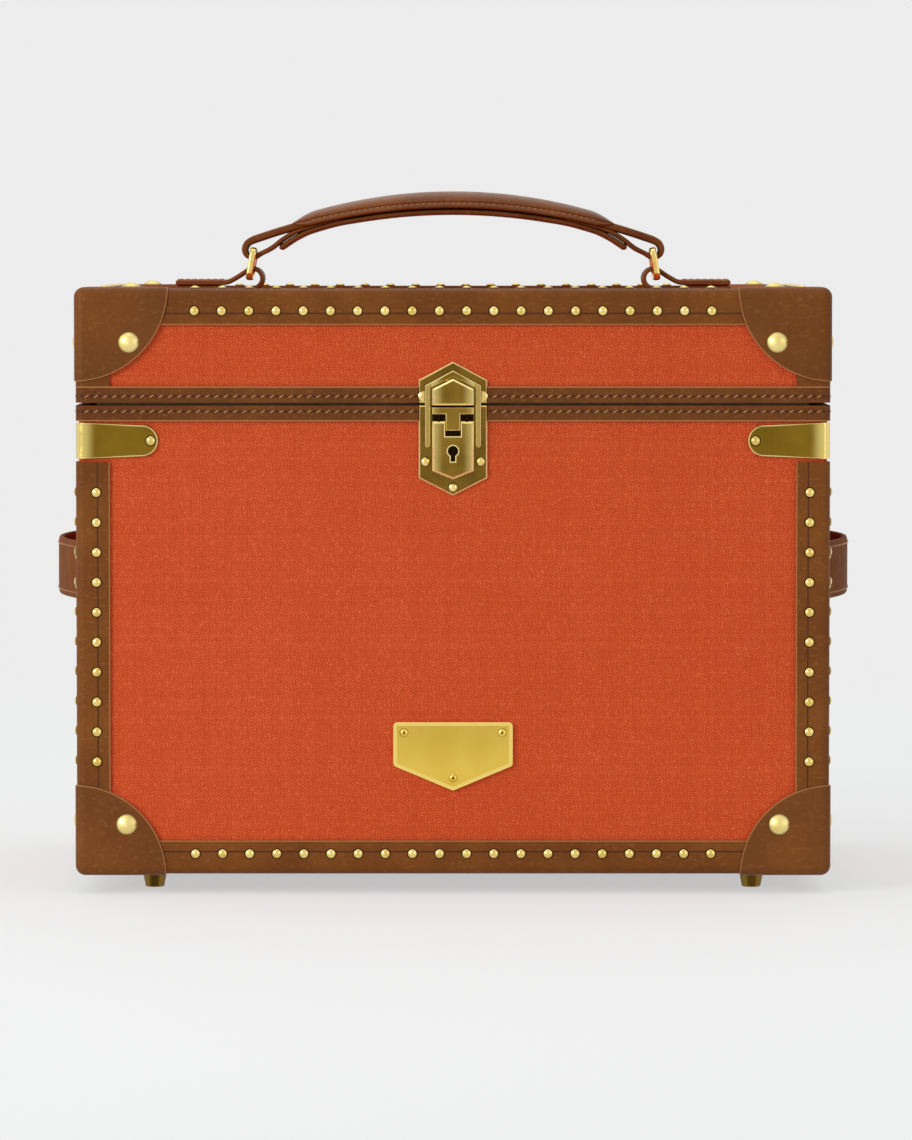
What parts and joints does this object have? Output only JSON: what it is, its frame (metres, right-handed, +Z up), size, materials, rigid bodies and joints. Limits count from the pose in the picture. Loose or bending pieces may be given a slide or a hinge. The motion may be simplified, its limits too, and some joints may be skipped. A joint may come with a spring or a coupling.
{
  "type": "jewellery trunk",
  "caption": "Canvas-covered travelling jewellery trunk with studded leather edges, hinged lid, case lock, carrying handles, lift-out trays and a lid mirror.",
  "frame": {"origin": "on the ground under the middle of the feet", "axes": "+Z up, +X to the right seen from the front, the front with the lock faces -Y"},
  "size_m": [0.3576, 0.2396, 0.3071],
  "materials": {
    "canvas": "plain-weave orange-red canvas, lightly coated",
    "leather": "smooth mid-brown bridle leather, burnished edges",
    "polished_brass": "polished",
    "antique_brass": "brushed and darkened",
    "plywood": "bare birch plywood",
    "lining": "short-napped beige microsuede",
    "steel": "drawn wire",
    "mirror": "silvered glass"
  },
  "bodies": {
    "body": {"base_board": "plywood", "body_front_board": "plywood", "body_back_board": "plywood", "body_side_boards": "plywood", "body_canvas": "canvas", "body_edging": "leather", "body_rim_binding": "leather", "base_corner_caps": "leather", "body_studs": "polished_brass", "base_cap_rivets": "polished_brass", "corner_clips": "antique_brass", "corner_clip_rivets": "antique_brass", "feet": "antique_brass", "foot_screws": "steel", "side_handle_left": "leather", "side_handle_right": "leather", "side_handle_rivets": "polished_brass", "badge_plate": "antique_brass", "badge_rivets": "antique_brass", "lock_body_plate": "antique_brass", "lock_housing": "antique_brass", "lock_springs": "steel", "body_small_rivets": "antique_brass", "hinge_body_leaves": "antique_brass", "hinge_pins": "antique_brass", "body_liner": "lining", "well_floor_pad": "lining", "well_dividers": "lining", "tray_ledges": "lining"},
    "lid": {"lid_top_board": "plywood", "lid_front_board": "plywood", "lid_back_board": "plywood", "lid_side_boards": "plywood", "lid_canvas": "canvas", "lid_edging": "leather", "lid_rim_binding": "leather", "lid_corner_caps": "leather", "lid_cap_rivets": "polished_brass", "lid_studs": "polished_brass", "lid_small_rivets": "antique_brass", "hinge_lid_leaves": "antique_brass", "handle_tabs": "leather", "lock_lid_plate": "antique_brass", "lock_hasp_pin": "antique_brass", "lid_liner": "lining", "mirror_frame": "leather", "mirror_glass": "mirror"},
    "handle": {"handle_strap": "leather", "handle_grip": "leather", "handle_lower_strap": "leather"},
    "ring_left": {"handle_ring_left": "polished_brass"},
    "ring_right": {"handle_ring_right": "polished_brass"},
    "hasp": {"lock_hasp": "antique_brass"},
    "button": {"lock_button": "antique_brass"},
    "tray_left": {"tray_left": "lining", "ring_rolls": "lining"},
    "tray_right": {"tray_right": "lining", "watch_pillows": "lining"}
  },
  "joints": [
    {"name": "lid_hinge", "type": "hinge", "parent": "body", "child": "lid", "pos_m": [0, 0.1176, 0.2138], "axis": [-1, 0, 0], "range_deg": [0, 100]},
    {"name": "hasp_hinge", "type": "hinge", "parent": "lid", "child": "hasp", "pos_m": [0, -0.1168, 0.22445], "axis": [-1, 0, 0], "range_deg": [0, 35]},
    {"name": "button_slide", "type": "slide", "parent": "body", "child": "button", "axis": [0, 0, -1], "range_m": [0, 0.0022], "stiffness_N_per_m": 300, "springref_m": -0.003, "deforming": ["lock_springs"]},
    {"name": "handle_drop", "type": "slide", "parent": "lid", "child": "handle", "axis": [0, 0, -1], "range_m": [0, 0.0026], "stiffness_N_per_m": 1500, "springref_m": -0.001},
    {"name": "ring_left_tilt", "type": "hinge", "parent": "lid", "child": "ring_left", "pos_m": [-0.092, 0, 0.2683], "axis": [0, 1, 0], "range_deg": [0, 16]},
    {"name": "ring_right_tilt", "type": "hinge", "parent": "lid", "child": "ring_right", "pos_m": [0.092, 0, 0.2683], "axis": [0, -1, 0], "range_deg": [0, 16]},
    {"name": "tray_left_lift", "type": "slide", "parent": "body", "child": "tray_left", "axis": [0, 0, 1], "range_m": [0, 0.035]},
    {"name": "tray_right_lift", "type": "slide", "parent": "body", "child": "tray_right", "axis": [0, 0, 1], "range_m": [0, 0.035]}
  ],
  "couplings": [
    {"joint": "ring_left_tilt", "follows": "handle_drop", "rad_per_m": 107.4},
    {"joint": "ring_right_tilt", "follows": "handle_drop", "rad_per_m": 107.4}
  ]
}
